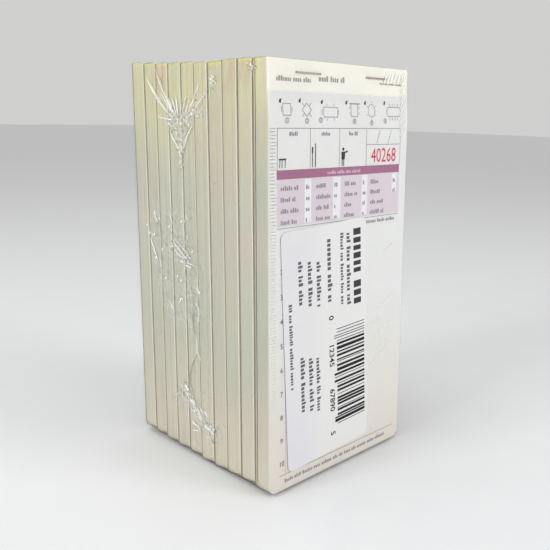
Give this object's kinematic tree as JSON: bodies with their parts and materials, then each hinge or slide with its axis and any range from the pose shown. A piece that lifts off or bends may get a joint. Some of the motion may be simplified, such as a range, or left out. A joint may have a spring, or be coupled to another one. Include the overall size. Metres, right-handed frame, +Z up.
{
  "type": "order pad pack",
  "caption": "Stapled two-part order pads stacked face to back in a tight clear shrink film, standing on their lower edges, with a paper label on the front of the film.",
  "frame": {"origin": "centre of the pack's base, where the film rests on the table", "axes": "+Z up along the pads, -Y the way the front pad's printed face looks, +X to the right as that face is read"},
  "size_m": [0.087, 0.0948, 0.1739],
  "materials": {
    "leaf_white": "uncoated, printed",
    "leaf_stack": "cut edges of white and yellow leaves",
    "chipboard": "raw grey-brown board",
    "staple_wire": "dull wire",
    "clear_film": "clear, glossy, wrinkled along the seal",
    "label_paper": "matt white"
  },
  "bodies": {
    "root": {"pad_01_backing_board": "chipboard", "pad_01_leaf_block": "leaf_stack", "pad_01_top_leaf": "leaf_white", "pad_01_staple_left": "staple_wire", "pad_01_staple_right": "staple_wire", "pad_02_backing_board": "chipboard", "pad_02_leaf_block": "leaf_stack", "pad_02_top_leaf": "leaf_white", "pad_02_staple_left": "staple_wire", "pad_02_staple_right": "staple_wire", "pad_03_backing_board": "chipboard", "pad_03_leaf_block": "leaf_stack", "pad_03_top_leaf": "leaf_white", "pad_03_staple_left": "staple_wire", "pad_03_staple_right": "staple_wire", "pad_04_backing_board": "chipboard", "pad_04_leaf_block": "leaf_stack", "pad_04_top_leaf": "leaf_white", "pad_04_staple_left": "staple_wire", "pad_04_staple_right": "staple_wire", "pad_05_backing_board": "chipboard", "pad_05_leaf_block": "leaf_stack", "pad_05_top_leaf": "leaf_white", "pad_05_staple_left": "staple_wire", "pad_05_staple_right": "staple_wire", "pad_06_backing_board": "chipboard", "pad_06_leaf_block": "leaf_stack", "pad_06_top_leaf": "leaf_white", "pad_06_staple_left": "staple_wire", "pad_06_staple_right": "staple_wire", "pad_07_backing_board": "chipboard", "pad_07_leaf_block": "leaf_stack", "pad_07_top_leaf": "leaf_white", "pad_07_staple_left": "staple_wire", "pad_07_staple_right": "staple_wire", "pad_08_backing_board": "chipboard", "pad_08_leaf_block": "leaf_stack", "pad_08_top_leaf": "leaf_white", "pad_08_staple_left": "staple_wire", "pad_08_staple_right": "staple_wire", "pad_09_backing_board": "chipboard", "pad_09_leaf_block": "leaf_stack", "pad_09_top_leaf": "leaf_white", "pad_09_staple_left": "staple_wire", "pad_09_staple_right": "staple_wire", "pad_10_backing_board": "chipboard", "pad_10_leaf_block": "leaf_stack", "pad_10_top_leaf": "leaf_white", "pad_10_staple_left": "staple_wire", "pad_10_staple_right": "staple_wire", "shrink_film": "clear_film", "pack_label": "label_paper"}
  },
  "joints": []
}
